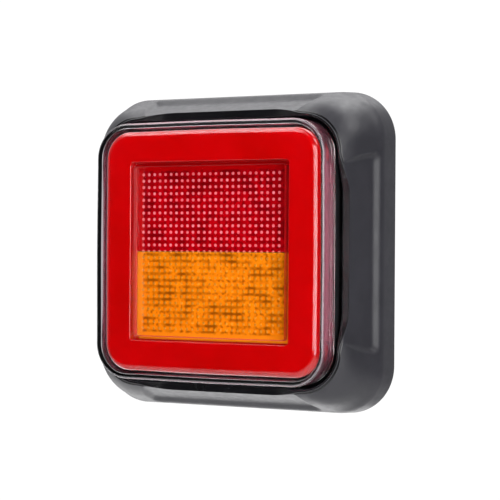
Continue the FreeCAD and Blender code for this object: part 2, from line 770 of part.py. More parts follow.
def make_reflector(node, centre_z):
    """A metallised tray: a front plate with a skirt and a grid of thin bowls, one for each LED."""
    body = new_body(node)
    plate = new_sketch(body, "plate", "tray_front - tray_plate", "0", centre_z)
    rounded(plate, "plate", "tray_width", "tray_height", "tray_corner")
    pad(plate, "tray_plate")
    first_x = "0 - bowl_pitch_x"
    first_z = centre_z + " - bowl_pitch_z / 2"
    outside = bowl(body, "bowl", first_x, first_z, "bowl_wall", "Revolution")
    inside = bowl(body, "hollow", first_x, first_z, "0", "Groove")
    grid(body, [outside, inside], BOWLS_ACROSS, "bowl_pitch_x", BOWLS_UP, "bowl_pitch_z")
    foot = "board_rear + board_thickness"
    corner_z = centre_z + " - tray_leg_spacing_z / 2"
    leg = new_sketch(body, "leg", foot, "0 - tray_leg_spacing_x / 2", corner_z)
    rounded(leg, "leg", "tray_leg", "tray_leg", "tray_leg / 8")
    post = pad(leg, "tray_front - tray_plate / 2 - board_rear - board_thickness")
    grid(body, [post], 2, "tray_leg_spacing_x", 2, "tray_leg_spacing_z")


def make_divider():
    """The black wall that keeps the stop light and the turn light apart."""
    body = new_body("light_divider")
    wall = new_sketch(body, "wall", "board_rear + board_thickness")
    rounded(wall, "wall", "divider_width", "divider_thickness", "divider_thickness / 4")
    pad(wall, "window_rear - board_rear - board_thickness")


# ---- Lamp insert: the circuit board -----------------------------------------------------------


def make_board():
    """The circuit board, held by four screws."""
    body = new_body("circuit_board")
    sheet = new_sketch(body, "sheet", "board_rear")
    rounded(sheet, "sheet", "board_size", "board_size", "board_corner")
    pad(sheet, "board_thickness")
    spot = fixing_spot(body, "hole", "board_rear + board_thickness")
    quarter_turns(body, [cut(round_outline(spot, "hole", "board_hole_radius"), "board_thickness")])


def led(body, name, x, z):
    """One LED: a square package with a domed top, on the front of the board."""
    package = new_sketch(body, name, "board_rear + board_thickness", x, z)
    rounded(package, name, "led_size", "led_size", "led_size / 16")
    block = pad(package, "led_height")
    top = new_sketch(body, name + "_dome", "board_rear + board_thickness + led_height", x, z)
    dome = pad(round_outline(top, name + "_dome", "led_dome"), "led_dome_height")
    bind(dome, "TaperAngle", "led_dome_draft")
    doc.recompute()
    return [block, dome]


def make_signal_leds(node, centre_z):
    """The LEDs of one signal, one at the bottom of each bowl."""
    body = new_body(node)
    pieces = led(body, "led", "0 - bowl_pitch_x", centre_z + " - bowl_pitch_z / 2")
    grid(body, pieces, BOWLS_ACROSS, "bowl_pitch_x", BOWLS_UP, "bowl_pitch_z")


def make_tail_leds():
    """The LEDs of the tail ring, in a row on each side of the light well."""
    body = new_body("tail_leds")
    pieces = []
    for index in range(TAIL_LEDS_PER_SIDE):
        steps = index - (TAIL_LEDS_PER_SIDE - 1) / 2
        pieces += led(body, "led%d" % index, "tail_led_half", "( %s ) * tail_led_pitch" % steps)
    quarter_turns(body, pieces)


def blocks(node, kind, places):
    """Small soldered components on the rear of the board, all of one kind."""
    body = new_body(node)
    for index, (x, z) in enumerate(places):
        name = "block%d" % index
        sketch = new_sketch(body, name, "board_rear - %s_height" % kind, x, z)
        rounded(sketch, name, kind + "_width", kind + "_length", "block_corner")
        pad(sketch, kind + "_height")
    doc.recompute()


def cans(node, places):
    """Round capacitors on the rear of the board."""
    body = new_body(node)
    for index, (x, z) in enumerate(places):
        name = "can%d" % index
        sketch = new_sketch(body, name, "board_rear - can_height", x, z)
        pad(round_outline(sketch, name, "can_radius"), "can_height")
    doc.recompute()


def make_components():
    """What the rear of the board carries: one driver and its parts for each of the three lights."""
    rows = ("driver_row", "middle_row", "0 - driver_row")
    chips = "0 - chip_column"
    resistors = []
    for row in rows:
        for side in ("- resistor_far", "- resistor_near", "+ resistor_near", "+ resistor_far"):
            resistors.append((chips + " " + side, row))
    terminals = []
    for wire in range(WIRES):
        steps = wire - (WIRES - 1) / 2
        terminals.append(("( %s ) * terminal_pitch" % steps, "0 - terminal_row"))
    blocks("driver_chips", "chip", [(chips, row) for row in rows])
    blocks("resistors", "resistor", resistors)
    blocks("ceramic_capacitors", "ceramic", [(chips, row + " + ceramic_rise") for row in rows])
    blocks("diodes", "diode", [("diode_column", row) for row in rows])
    blocks("surge_suppressor", "suppressor", [("suppressor_column", "0 - suppressor_row")])
    blocks("wire_terminals", "terminal", terminals)
    cans("smoothing_capacitors", [("can_column", row) for row in rows[:2]])


def make_board_screws():
    """Four pan-head screws through the board into the standoffs."""
    body = new_body("board_screws")
    seat = "board_rear + board_thickness"
    spot = fixing_spot(body, "shank", seat + " - screw_length")
    shank = pad(round_outline(spot, "shank", "pilot_radius"), "screw_length")
    spot = fixing_spot(body, "head", seat)
    head = pad(round_outline(spot, "head", "screw_head_radius"), "screw_head_height")
    quarter_turns(body, [shank, head])


def make_grommet():
    """The rubber cable grommet in the back of the housing, with a snout that bends with the cable."""
    body = new_body("cable_grommet")
    inside = "housing_back + housing_floor"
    drop = "0 - cable_drop"
    snout = new_sketch(body, "snout", "grommet_snout_end", "0", drop)
    pad(round_outline(snout, "snout", "grommet_snout"), "housing_back - grommet_snout_end")
    flange = new_sketch(body, "flange", "housing_back - grommet_flange_height", "0", drop)
    pad(round_outline(flange, "flange", "grommet_flange"), "grommet_flange_height")
    neck = new_sketch(body, "neck", "housing_back", "0", drop)
    pad(round_outline(neck, "neck", "grommet_neck"), "housing_floor")
    bead = new_sketch(body, "bead", inside, "0", drop)
    pad(round_outline(bead, "bead", "grommet_bead"), "grommet_bead_height")
    bore = new_sketch(body, "bore", inside + " + grommet_bead_height", "0", drop)
    cut(round_outline(bore, "bore", "cable_radius"), "housing_back + housing_floor + grommet_bead_height")


def make_vent():
    """The breathable patch glued over the vent hole."""
    body = new_body("breather_vent")
    patch = new_sketch(body, "patch", "housing_back - vent_thickness", "vent_offset", "vent_offset")
    pad(round_outline(patch, "patch", "vent_radius"), "vent_thickness")


# ---- The whole lamp ---------------------------------------------------------------------------


def make_all():
    """Build every sub-part."""
    upper = "( window_height + window_gap ) / 2"
    lower = "0 - ( window_height + window_gap ) / 2"
    make_bracket()
    make_latches()
    make_lens()
    make_seal()
    make_housing()
    make_glow_frame()
    make_light_guide()
    make_light_well()
    make_window("stop_window", upper)
    make_window("turn_window", lower)
    make_reflector("stop_reflector", upper)
    make_reflector("turn_reflector", lower)
    make_divider()
    make_board()
    make_signal_leds("stop_leds", upper)
    make_signal_leds("turn_leds", lower)
    make_tail_leds()
    make_components()
    make_board_screws()
    make_grommet()
    make_vent()
    doc.recompute()


def check_and_write():
    """Stop on any failed object or bad shape, then write one STEP file for each sub-part."""
    for item in doc.Objects:
        if any(state in FAILED_STATES for state in item.State):
            raise RuntimeError("%s failed: %s" % (item.Name, item.State))
    for part in sub_parts:
        if part.Shape.isNull() or not part.Shape.isValid():
            raise RuntimeError(part.Label + " has a bad shape")
    os.makedirs(PARTS_FOLDER, exist_ok=True)
    for part in sub_parts:
        part.Shape.exportStep(os.path.join(PARTS_FOLDER, part.Label + ".step"))
        solids = len(part.Shape.Solids)
        print("%-24s %3d solids %10.1f mm3" % (part.Label, solids, part.Shape.Volume))


make_all()
check_and_write()
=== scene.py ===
import json
import math

import bmesh
import bpy
from mathutils import Matrix, Vector


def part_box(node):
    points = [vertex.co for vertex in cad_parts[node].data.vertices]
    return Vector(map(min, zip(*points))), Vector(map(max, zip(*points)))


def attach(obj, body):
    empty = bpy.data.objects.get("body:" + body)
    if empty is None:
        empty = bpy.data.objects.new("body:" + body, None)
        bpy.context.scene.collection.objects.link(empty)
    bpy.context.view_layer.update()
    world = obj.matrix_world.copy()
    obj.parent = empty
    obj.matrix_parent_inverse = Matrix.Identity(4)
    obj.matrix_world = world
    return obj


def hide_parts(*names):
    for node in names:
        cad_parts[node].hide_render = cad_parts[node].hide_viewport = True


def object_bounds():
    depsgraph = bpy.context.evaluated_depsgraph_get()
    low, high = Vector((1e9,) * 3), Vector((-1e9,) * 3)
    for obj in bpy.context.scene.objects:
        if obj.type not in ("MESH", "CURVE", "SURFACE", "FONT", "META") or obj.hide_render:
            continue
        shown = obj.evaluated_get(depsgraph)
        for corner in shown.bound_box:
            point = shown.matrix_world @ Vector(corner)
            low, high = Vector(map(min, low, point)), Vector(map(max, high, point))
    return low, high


# A square trailer tail light: a clip-in lamp insert in a flared surround bracket.
#
# Lengths are millimetres unless a name or comment says otherwise, and to_world makes them metres.
# "Depth" is the distance in front of the mounting face (towards -Y), and "half" is half a width in X or Z.
# The lamp's four sides are alike. "Out" is a distance from the middle towards one side, and "along" is a
# distance along that side from its own middle.

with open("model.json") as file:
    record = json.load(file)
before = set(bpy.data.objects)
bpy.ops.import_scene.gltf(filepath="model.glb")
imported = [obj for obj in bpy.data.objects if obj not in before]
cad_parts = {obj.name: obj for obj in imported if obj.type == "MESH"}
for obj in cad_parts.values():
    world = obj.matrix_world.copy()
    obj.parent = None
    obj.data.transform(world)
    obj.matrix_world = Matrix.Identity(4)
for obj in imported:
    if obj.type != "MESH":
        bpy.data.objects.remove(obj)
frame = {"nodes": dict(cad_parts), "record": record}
cad_low, cad_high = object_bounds()

MM = 0.001


# ---- Small geometry helpers ----------------------------------------------------------------------


def to_world(x, depth, z):
    """A point in the CAD's frame, in metres."""
    return Vector((x * MM, -depth * MM, z * MM))


def mix(start, end, share):
    return start + (end - start) * share


def clamp(share):
    return max(0.0, min(1.0, share))


def smooth_step(low, high, number):
    share = clamp((number - low) / (high - low))
    return share * share * (3 - 2 * share)


def soft_min(a, b, blend):
    """The smaller number, with the crease between the two rounded over."""
    near = max(blend - abs(a - b), 0.0) / blend
    return min(a, b) - near * near * blend / 4


def soft_max(a, b, blend):
    return -soft_min(-a, -b, blend)


def half_size(node):
    """Half of a CAD node's width."""
    low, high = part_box(node)
    return (high.x - low.x) / 2 / MM


def front_of(node):
    """The depth of a CAD node's foremost point."""
    return -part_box(node)[0].y / MM


def rear_of(node):
    """The depth of a CAD node's rearmost point."""
    return -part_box(node)[1].y / MM


def turned(out, along, side):
    """The point (x, z) at this place of a side. Sides are 0 right, 1 top, 2 left and 3 bottom."""
    return ((out, along), (-along, out), (-out, -along), (along, -out))[side]


def seen_from(x, z, side):
    """The place (out, along) of a point as seen from a side, which is turned the other way round."""
    return ((x, z), (z, -x), (-x, -z), (-z, x))[side]


def quarter_turn(steps):
    """The angles that cut a quarter turn into equal steps, its two ends among them."""
    return [math.pi / 2 * step / steps for step in range(steps + 1)]


def four_corners(offset):
    """The four points this far from the middle in both X and Z."""
    return [(side_x * offset, side_z * offset) for side_x in (-1, 1) for side_z in (-1, 1)]


def square_outline(half_x, half_z, corner, per_side, per_corner, bow=0.0):
    """Points (x, z) round a rounded rectangle, counterclockwise from the right side. Sides may bow out."""
    points = []
    for side in range(4):
        length, across = (half_z, half_x) if side % 2 == 0 else (half_x, half_z)
        straight = length - bow - corner
        for step in range(per_side):
            share = 2 * (step + 0.5) / per_side - 1
            bulge = bow * (1 - share * share) ** 2
            points.append(turned(across - bow + bulge, share * straight, side))
        for step in range(per_corner):
            angle = math.pi / 2 * (step + 0.5) / per_corner
            out = across - bow - corner + corner * math.cos(angle)
            points.append(turned(out, straight + corner * math.sin(angle), side))
    return points


def circle_outline(radius, x, z, count=48):
    points = []
    for step in range(count):
        angle = 2 * math.pi * step / count
        points.append((x + radius * math.cos(angle), z + radius * math.sin(angle)))
    return points


def rounded_profile(corners, steps):
    """Corners (inset, depth, radius) as a polyline of (inset, depth), with each radius cut into steps."""
    line = []
    for index, (inset, depth, radius) in enumerate(corners):
        here = Vector((inset, depth))
        if radius == 0:
            line.append(here)
            continue
        before = (Vector(corners[index - 1][:2]) - here).normalized()
        after = (Vector(corners[index + 1][:2]) - here).normalized()
        half_angle = before.angle(after) / 2
        centre = here + (before + after).normalized() * (radius / math.sin(half_angle))
        start = here + before * (radius / math.tan(half_angle)) - centre
        end = here + after * (radius / math.tan(half_angle)) - centre
        sweep = start.angle_signed(end)
        for step in range(steps + 1):
            angle = -sweep * step / steps
            spun = Vector((start.x * math.cos(angle) - start.y * math.sin(angle),
                           start.x * math.sin(angle) + start.y * math.cos(angle)))
            line.append(centre + spun)
    return [(point.x, point.y) for point in line]


# ---- Mesh helpers --------------------------------------------------------------------------------


def add_ring(bm, outline, depth):
    return [bm.verts.new(to_world(x, depth, z)) for x, z in outline]


def bridge(bm, first, second, material=0):
    """Quads between two rings with the same number of points."""
    count = len(first)
    for index in range(count):
        after = (index + 1) % count
        face = bm.faces.new((first[index], first[after], second[after], second[index]))
        face.material_index = material


def bridge_all(bm, rings, material=0):
    """Quads between each ring and the next."""
    for first, second in zip(rings, rings[1:]):
        bridge(bm, first, second, material)


def fill_flat(bm, rings):
    """A flat face bounded by the first ring, with a hole for each other ring."""
    edges = []
    for ring in rings:
        for index, vert in enumerate(ring):
            after = ring[(index + 1) % len(ring)]
            edges.append(bm.edges.get((vert, after)) or bm.edges.new((vert, after)))
    bmesh.ops.triangle_fill(bm, use_beauty=True, use_dissolve=False, edges=edges)


def finish_mesh(bm, name, sharp_degrees=40):
    """Turn a bmesh into a smooth-shaded mesh with outward normals and crisp creases."""
    bmesh.ops.recalc_face_normals(bm, faces=bm.faces)
    mesh = bpy.data.meshes.new(name)
    bm.to_mesh(mesh)
    bm.free()
    for polygon in mesh.polygons:
        polygon.use_smooth = True
    mesh.set_sharp_from_angle(angle=math.radians(sharp_degrees))
    return mesh


def new_piece(mesh, materials, body, replaced=()):
    """A finished piece, named as its mesh: its materials, what it stands for, and the body it rides on."""
    piece = bpy.data.objects.new(mesh.name, mesh)
    bpy.context.scene.collection.objects.link(piece)
    for material in materials:
        mesh.materials.append(material)
    if replaced:
        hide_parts(*replaced)
    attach(piece, body)


# ---- Materials -----------------------------------------------------------------------------------

# Noise lies mostly between its low and its high number.
NOISE_ROUGHNESS = 0.55
NOISE_LOW = 0.3
NOISE_HIGH = 0.7
GLOSS_SPREAD = 0.06
PLASTIC_IOR = 1.49
CLEAR_TINT = (0.97, 0.97, 0.98)

# The windows carry painted shade: a dark mottle that stands for the shaded inside seen through them. It is
# strongest on a lattice with the dots' pitch, a share of a pitch to their left so that it lies between the
# dots as seen from the camera's side, and it fades out at the edge of the dots' pattern. A share of the
# windows is clear, and lamps keep a share of its tint.
DOT_PITCH = 2.48
PATTERN_HALF = 31.0
PATTERN_FADE = 0.8
LATTICE_SHIFT = 0.22
WINDOW_CLEARNESS = 0.25
WINDOW_LAMPLIGHT = 0.8

# The dots' painted light changes from amber to red over this much on each side of the line between the two
# windows.
DOT_COLOUR_FADE = 0.3

# How much of each part of the lens carries painted light. This is a colour that stands for the highlights on
# the dots and the front edge, the red frame's light on the ribbed walls, its reflection on the pad's flank,
# and the windows' light in the dots. The ribbed walls' painted light is weaker near the corners.
AMBER_DOT_PAINTED_LIGHT = 0.22
RED_DOT_PAINTED_LIGHT = 0.55
FLANK_PAINTED_REFLECTION = 0.7
EDGE_PAINTED_HIGHLIGHT = 0.2
WALL_PAINTED_LIGHT = 0.23
WALL_CORNER_PAINTED_LIGHT = 0.06
WALL_FADE_START = 32.0
WALL_FADE_END = 40.0


class Nodes:
    """A short way to write the node tree of a material or a world."""

    def __init__(self, owner, output_kind="ShaderNodeOutputMaterial"):
        self.owner = owner
        owner.use_nodes = True
        owner.node_tree.nodes.clear()
        self.output = self.add(output_kind)

    def add(self, kind, inputs=None, **settings):
        """A new node. Each input, by name or number, is another node's output, a number or a colour."""
        node = self.owner.node_tree.nodes.new(kind)
        for key, setting in settings.items():
            setattr(node, key, setting)
        for key, source in (inputs or {}).items():
            socket = node.inputs[key]
            if isinstance(source, bpy.types.NodeSocket):
                self.owner.node_tree.links.new(source, socket)
            elif socket.type == "RGBA":
                socket.default_value = (*source, 1)
            else:
                socket.default_value = source
        return node

    def place(self, kind="Object"):
        """Where a point of the surface is, in metres. In a world, "Generated" is the direction looked in."""
        return self.add("ShaderNodeTexCoord").outputs[kind]

    def x_and_z(self):
        split = self.add("ShaderNodeSeparateXYZ", {"Vector": self.place()})
        return split.outputs["X"], split.outputs["Z"]

    def maths(self, operation, *numbers):
        return self.add("ShaderNodeMath", dict(enumerate(numbers)), operation=operation).outputs["Value"]

    def ramp(self, source, low, high, start, end, **settings):
        """Map the numbers from start to end onto those from low to high."""
        sockets = {"Value": source, "From Min": start, "From Max": end, "To Min": low, "To Max": high}
        return self.add("ShaderNodeMapRange", sockets, **settings).outputs["Result"]

    def noise(self, grain, detail):
        """Noise with features of about this many millimetres."""
        sockets = {"Vector": self.place(), "Scale": 1 / (grain * MM), "Detail": detail,
                   "Roughness": NOISE_ROUGHNESS}
        return self.add("ShaderNodeTexNoise", sockets).outputs["Fac"]

    def patches(self, grain, detail, low=0.0, high=1.0, start=NOISE_LOW, end=NOISE_HIGH):
        """Noise stretched so that it runs from low to high."""
        return self.ramp(self.noise(grain, detail), low, high, start, end)

    def blend(self, share, first, second):
        """A colour between two others."""
        sockets = {"Factor": share, "A": first, "B": second}
        return self.add("ShaderNodeMix", sockets, data_type="RGBA").outputs["Result"]

    def bump(self, grain, detail, height):
        """Noise relief of this height."""
        sockets = {"Height": self.noise(grain, detail), "Distance": height * MM}
        return self.add("ShaderNodeBump", sockets).outputs["Normal"]

    def principled(self, **inputs):
        """A Principled shader. Each key is a socket's name, with underscores for its spaces."""
        sockets = {key.replace("_", " "): source for key, source in inputs.items()}
        return self.add("ShaderNodeBsdfPrincipled", sockets).outputs["BSDF"]

    def transparent(self, tint=(1, 1, 1)):
        return self.add("ShaderNodeBsdfTransparent", {"Color": tint}).outputs["BSDF"]

    def background(self, colour, strength):
        sockets = {"Color": colour, "Strength": strength}
        return self.add("ShaderNodeBackground", sockets).outputs["Background"]

    def mixed(self, share, first, second):
        """Two shaders mixed: the first alone at share 0, the second alone at share 1."""
        return self.add("ShaderNodeMixShader", {"Fac": share, 1: first, 2: second}).outputs["Shader"]

    def is_ray(self, kind):
        return self.add("ShaderNodeLightPath").outputs[f"Is {kind} Ray"]

    def show(self, shader):
        self.owner.node_tree.links.new(shader, self.output.inputs["Surface"])
        return self.owner

    def show_through(self, shader, tint):
        """Show a clear shader, and let lamps reach what is behind it, tinted."""
        return self.show(self.mixed(self.is_ray("Shadow"), shader, self.transparent(tint)))


def new_material(name):
    return Nodes(bpy.data.materials.new(name))


def scaled(colour, share):
    return tuple(channel * share for channel in colour)


def moulded_plastic(name, dark, light, rough, grain=0.35, relief=0.012):
    """Injection-moulded plastic: uneven tone, a fine spark-eroded texture and patchy gloss."""
    nodes = new_material(name)
    colour = nodes.blend(nodes.patches(14.0, 3.0), dark, light)
    gloss = nodes.patches(3.0, 5.0, rough - GLOSS_SPREAD, rough + GLOSS_SPREAD)
    texture = nodes.bump(grain, 2.0, relief)
    return nodes.show(nodes.principled(Base_Color=colour, Roughness=gloss, Normal=texture))


def polished_plastic(name, dark, light, rough, wave=0.004, coat=0.0, subsurface=0.0):
    """Polished plastic: slow ripples from the mould and faint swirls in its gloss."""
    nodes = new_material(name)
    colour = nodes.blend(nodes.patches(22.0, 2.0), dark, light)
    gloss = nodes.patches(5.0, 4.0, rough * 0.7, rough * 1.4)
    ripple = nodes.bump(9.0, 1.0, wave)
    return nodes.show(nodes.principled(
        Base_Color=colour, Roughness=gloss, Normal=ripple, Coat_Weight=coat,
        Coat_Roughness=0.03, Subsurface_Weight=subsurface, Subsurface_Scale=0.002))


def metal(name, colour, rough, spread=0.05, grain=2.0):
    """Bare metal with a slightly uneven tone and gloss."""
    nodes = new_material(name)
    shade = nodes.blend(nodes.patches(grain, 4.0), scaled(colour, 0.82), colour)
    gloss = nodes.patches(grain / 2, 4.0, rough - spread, rough + spread)
    return nodes.show(nodes.principled(Base_Color=shade, Metallic=1.0, Roughness=gloss))


def clear_plastic(name):
    """Clear polycarbonate, with slow ripples from the mould."""
    nodes = new_material(name)
    gloss = nodes.patches(4.0, 3.0, low=0.005, high=0.015)
    ripple = nodes.bump(12.0, 1.0, 0.001)
    glass = nodes.principled(
        Base_Color=CLEAR_TINT, Roughness=gloss, IOR=PLASTIC_IOR, Transmission_Weight=1.0, Normal=ripple)
    return nodes.show_through(glass, CLEAR_TINT)


def lattice_wave(nodes, place, shift):
    """A wave along one axis: 0 on the rows of dots, give or take the shift, and 1 midway between them."""
    phase = nodes.maths("MULTIPLY_ADD", place, math.pi / (DOT_PITCH * MM), math.pi * shift)
    return nodes.maths("ABSOLUTE", nodes.maths("SINE", phase))


def signal_plastic(name, border, middle, shade_colour, lattice_shade_depth):
    """A signal window's dyed, partly cloudy plastic. Its patterned middle carries painted shade, dark
    blotches strongest between the dots, and its border is plain.
    """
    nodes = new_material(name)
    x, z = nodes.x_and_z()
    reach = nodes.maths("MAXIMUM", nodes.maths("ABSOLUTE", x), nodes.maths("ABSOLUTE", z))
    inner = nodes.ramp(reach, 1.0, 0.0, PATTERN_HALF * MM, (PATTERN_HALF + PATTERN_FADE) * MM)
    # Painted shade: dark blotches and speckles, strongest on the lattice between the dots, stand for the
    # shaded inside seen through the window.
    blotches = nodes.patches(7.0, 3.0, high=0.8, start=0.44, end=0.62)
    speckles = nodes.patches(1.5, 2.0, high=0.7, start=0.46, end=0.60)
    shade_spots = nodes.maths("MAXIMUM", blotches, speckles)
    between = nodes.maths("MAXIMUM", lattice_wave(nodes, x, LATTICE_SHIFT), lattice_wave(nodes, z, 0.0))
    lattice_shade = nodes.ramp(between, 1 - lattice_shade_depth, 1.0, start=0.62, end=0.95)
    painted_shade_share = nodes.blend(nodes.maths("MULTIPLY", shade_spots, lattice_shade), middle, shade_colour)
    glass = nodes.principled(
        Base_Color=nodes.blend(inner, border, painted_shade_share), Roughness=0.08, IOR=PLASTIC_IOR,
        Transmission_Weight=WINDOW_CLEARNESS, Normal=nodes.bump(2.2, 2.0, 0.02))
    return nodes.show_through(glass, scaled(border, WINDOW_LAMPLIGHT))


def dot_painted_light():
    """The dots moulded on the back of the lens, with painted light: a pale colour, amber or red like the
    window behind, that stands for their highlights and the window's light seen through them.
    """
    nodes = new_material("LensDotsPaintedLight")
    _, z = nodes.x_and_z()
    upper = nodes.ramp(z, 0.0, 1.0, -DOT_COLOUR_FADE * MM, DOT_COLOUR_FADE * MM)
    tone = nodes.patches(1.6, 2.0)
    # Painted light: pale amber below the middle and pale red above stand for the dots' highlights and the
    # light of the window behind.
    painted_light_over_amber = nodes.blend(tone, (1.0, 0.30, 0.0), (1.0, 0.40, 0.01))
    painted_light_over_red = nodes.blend(tone, (0.95, 0.12, 0.14), (1.0, 0.26, 0.29))
    colour = nodes.blend(upper, painted_light_over_amber, painted_light_over_red)
    painted_light_shader = nodes.principled(Base_Color=colour, Roughness=0.8, Specular_IOR_Level=0.0)
    painted_share = nodes.ramp(upper, AMBER_DOT_PAINTED_LIGHT, RED_DOT_PAINTED_LIGHT, 0.0, 1.0)
    return nodes.show(nodes.mixed(painted_share, nodes.transparent(), painted_light_shader))


def flank_painted_reflection():
    """The flank of the lens's optic pad: mostly painted reflection, a red that stands for the red wall right
    beside it.
    """
    nodes = new_material("PadFlankPaintedReflection")
    # Painted reflection: the red of the wall beside the pad's flank.
    colour = nodes.blend(nodes.patches(2.0, 3.0), (0.40, 0.0, 0.0), (0.52, 0.0, 0.004))
    painted_light_shader = nodes.principled(Base_Color=colour, Roughness=0.5)
    return nodes.show(nodes.mixed(FLANK_PAINTED_REFLECTION, nodes.transparent(), painted_light_shader))


def ribbed_wall_painted_light():
    """The finely ribbed inside wall of the lens, with painted light: a pinkish red that stands for the red of
    the frame beside it seen through the wall.
    """
    nodes = new_material("RibbedWallPaintedLight")
    # Painted light: the red frame's light seen through the clear wall, weaker towards the corners.
    colour = nodes.blend(nodes.patches(2.5, 3.0), (0.66, 0.12, 0.22), (0.88, 0.24, 0.36))
    painted_light_shader = nodes.principled(Base_Color=colour, Roughness=0.45)
    gloss = nodes.patches(1.2, 2.0, low=0.03, high=0.09)
    glass = nodes.principled(Base_Color=CLEAR_TINT, Roughness=gloss, IOR=PLASTIC_IOR, Transmission_Weight=1.0)
    x, z = nodes.x_and_z()
    along = nodes.maths("MINIMUM", nodes.maths("ABSOLUTE", x), nodes.maths("ABSOLUTE", z))
    painted_share = nodes.ramp(along, WALL_PAINTED_LIGHT, WALL_CORNER_PAINTED_LIGHT, WALL_FADE_START * MM, WALL_FADE_END * MM)
    return nodes.show(nodes.mixed(painted_share, glass, painted_light_shader))


def edge_painted_highlight():
    """The rounded front edge of the clear cap, with a painted highlight: a pale colour that stands for the
    light the edge catches, as a pale line.
    """
    nodes = new_material("LensEdgePaintedHighlight")
    # Painted highlight: a pale share on the clear edge.
    colour = nodes.blend(nodes.patches(3.0, 3.0), (0.74, 0.70, 0.76), (0.90, 0.87, 0.92))
    painted_light_shader = nodes.principled(Base_Color=colour, Roughness=0.4)
    glass = nodes.principled(Base_Color=CLEAR_TINT, Roughness=0.02, IOR=PLASTIC_IOR, Transmission_Weight=1.0)
    return nodes.show(nodes.mixed(EDGE_PAINTED_HIGHLIGHT, glass, painted_light_shader))


bracket_black = moulded_plastic("BracketPlastic", (0.023, 0.0225, 0.028), (0.031, 0.030, 0.037), 0.42)
# Painted shade: a darker, polished copy of the bracket's black for the lip's front faces.
rim_painted_shade = polished_plastic("BracketRimPaintedShade", (0.006, 0.006, 0.007), (0.010, 0.010, 0.012), 0.2)
latch_black = moulded_plastic("LatchPlastic", (0.035, 0.035, 0.038), (0.05, 0.05, 0.055), 0.4)
housing_black = moulded_plastic("HousingPlastic", (0.010, 0.010, 0.011), (0.018, 0.018, 0.020), 0.38)
wall_black = moulded_plastic("DividerPlastic", (0.012, 0.012, 0.012), (0.02, 0.02, 0.02), 0.5)
weld_black = moulded_plastic("WeldSeam", (0.018, 0.018, 0.02), (0.03, 0.03, 0.033), 0.5, relief=0.03)
rubber_black = moulded_plastic(
    "GrommetRubber", (0.014, 0.014, 0.014), (0.026, 0.026, 0.026), 0.62, relief=0.02)
chip_black = moulded_plastic("ChipCompound", (0.016, 0.016, 0.017), (0.03, 0.03, 0.031), 0.55)
resistor_black = polished_plastic("ResistorGlaze", (0.012, 0.012, 0.014), (0.03, 0.03, 0.034), 0.3)
ceramic_tan = moulded_plastic("CeramicTan", (0.30, 0.20, 0.11), (0.42, 0.30, 0.18), 0.45)
white_plastic = moulded_plastic("WhitePlastic", (0.74, 0.74, 0.73), (0.84, 0.84, 0.83), 0.5)
milky_plastic = polished_plastic("MilkyPlastic", (0.80, 0.79, 0.76), (0.88, 0.87, 0.85), 0.25, subsurface=0.4)
board_white = polished_plastic("SolderMask", (0.70, 0.72, 0.69), (0.78, 0.79, 0.77), 0.25)
vent_white = moulded_plastic(
    "VentMembrane", (0.62, 0.62, 0.61), (0.78, 0.78, 0.77), 0.85, grain=0.12, relief=0.03)
frame_red = polished_plastic("RedFrame", (0.42, 0.0, 0.0), (0.49, 0.0, 0.001), 0.10, wave=0.0015, coat=1.0)
led_red = polished_plastic("LedRed", (0.75, 0.45, 0.40), (0.85, 0.60, 0.55), 0.1)
led_amber = polished_plastic("LedAmber", (0.80, 0.55, 0.10), (0.95, 0.75, 0.20), 0.1)
aluminium = metal("CanAluminium", (0.80, 0.80, 0.82), 0.3)
brass = metal("TerminalBrass", (0.78, 0.62, 0.32), 0.3)
zinc_steel = metal("ScrewZinc", (0.62, 0.62, 0.64), 0.32, grain=0.5)
reflector_metal = metal("ReflectorMetal", (0.86, 0.86, 0.87), 0.09, spread=0.03)
clear_lens = clear_plastic("ClearLens")
stop_red = signal_plastic("StopWindow", (0.60, 0.0, 0.002), (0.58, 0.0, 0.006), (0.16, 0.0, 0.003), 0.45)
turn_amber = signal_plastic("TurnWindow", (1.0, 0.32, 0.008), (1.0, 0.30, 0.006), (0.13, 0.022, 0.0), 0.85)
lens_dots = dot_painted_light()
lens_edge = edge_painted_highlight()
pad_flank = flank_painted_reflection()
ribbed_wall = ribbed_wall_painted_light()


# ---- Surround bracket ----------------------------------------------------------------------------

# The outer skin: a drafted flange, then a bulging flare in to the lip. BULGE_SCALE makes the curve
# share * share * (1 - share) peak at 1.
BRACKET_HALF = half_size("mounting_bracket")
BRACKET_CORNER = 18.8
FOOT_ROUND = 0.6
FLANGE_HALF = 61.3
FLANGE_CORNER = 18.3
FLANGE_DEPTH = 10.4
FLARE_SOFTNESS = 0.6
FLARE_BULGE = 1.4
BULGE_SCALE = 27 / 4
LIP_DEPTH = front_of("mounting_bracket")
LIP_HALF = 52.4
LIP_CORNER = 16.2
LIP_ROUND = 0.55

# The recessed panel of each side. Its slopes are millimetres out for each millimetre of depth or length.
PANEL_REAR_HALF = 58.34
PANEL_REAR_DEPTH = 13.7
PANEL_TILT = 0.348
PANEL_END_AT_LIP = 33.0
PANEL_END_AT_REAR = 36.0
PANEL_END_SLOPE = 0.9
PANEL_STEP_SLOPE = 1.15
PANEL_SOFTNESS = 0.5
PANEL_CORNER_SOFTNESS = 2.4

# The notch in each side of the lip. It bends the skin and the cavity's wall in front of the anchor's depth.
NOTCH_DEPTH = 25.3
NOTCH_FLOOR_HALF = 24.0
NOTCH_MOUTH_HALF = 35.0
NOTCH_SOFTNESS = 1.0
NOTCH_ANCHOR = 14.0

# The cavity behind the lip, and the floor. Its foot is rounded by these (inset, rise) steps.
CAVITY_HALF = 51.2
CAVITY_CORNER = 15.0
CAVITY_NECK = 24.5
CAVITY_BASE_HALF = 56.2
CAVITY_BASE_CORNER = 17.0
CAVITY_FOOT = ((0.0, 1.0), (0.3, 0.3), (1.0, 0.0))
FLOOR_THICKNESS = 3.0

